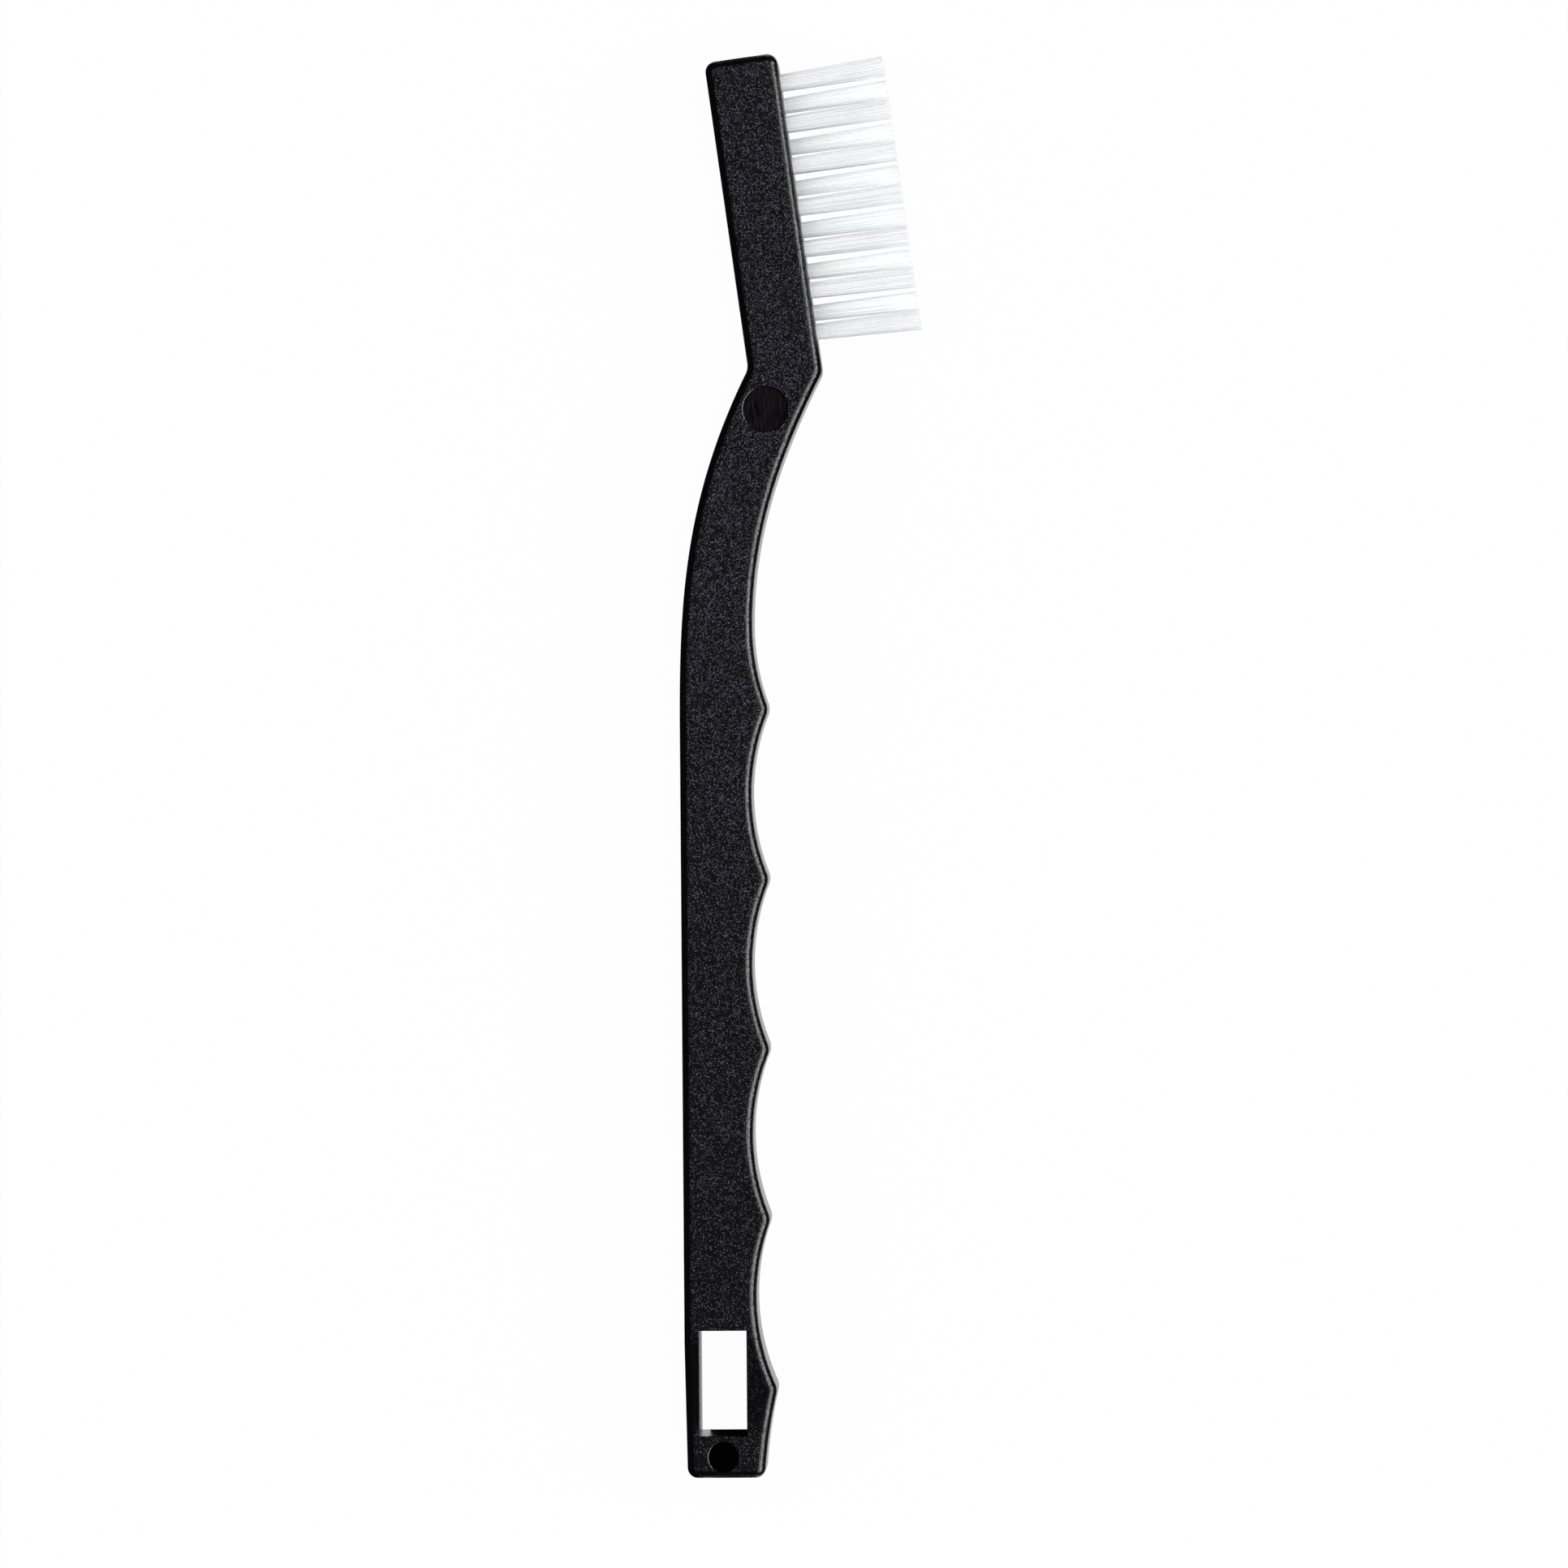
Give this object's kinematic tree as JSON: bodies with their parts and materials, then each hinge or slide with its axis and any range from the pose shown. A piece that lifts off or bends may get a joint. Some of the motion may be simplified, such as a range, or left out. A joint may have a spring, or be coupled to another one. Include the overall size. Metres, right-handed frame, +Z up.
{
  "type": "instrument cleaning brush",
  "caption": "Toothbrush-style cleaning brush: a cranked black plastic handle with a scalloped finger grip and a hanging slot, and a tilted head of stiff white nylon tufts.",
  "frame": {"origin": "under the middle of the brush, in the plane of the lower side that it lies on", "axes": "+Y along the grip's straight back towards the head, +X the way the bristles point, +Z up through the handle's thickness"},
  "size_m": [0.0316, 0.1838, 0.011],
  "materials": {
    "handle_plastic": "fine spark-eroded grain on the flat sides, smooth satin edges",
    "bristle_nylon": "translucent white filament",
    "anchor_metal": "rolled flat wire"
  },
  "bodies": {
    "root": {"handle": "handle_plastic", "bristles_row_low": "bristle_nylon", "bristles_row_mid": "bristle_nylon", "bristles_row_high": "bristle_nylon", "anchor_low_1": "anchor_metal", "anchor_low_2": "anchor_metal", "anchor_low_3": "anchor_metal", "anchor_low_4": "anchor_metal", "anchor_low_5": "anchor_metal", "anchor_low_6": "anchor_metal", "anchor_low_7": "anchor_metal", "anchor_mid_1": "anchor_metal", "anchor_mid_2": "anchor_metal", "anchor_mid_3": "anchor_metal", "anchor_mid_4": "anchor_metal", "anchor_mid_5": "anchor_metal", "anchor_mid_6": "anchor_metal", "anchor_high_1": "anchor_metal", "anchor_high_2": "anchor_metal", "anchor_high_3": "anchor_metal", "anchor_high_4": "anchor_metal", "anchor_high_5": "anchor_metal", "anchor_high_6": "anchor_metal", "anchor_high_7": "anchor_metal"}
  },
  "joints": []
}
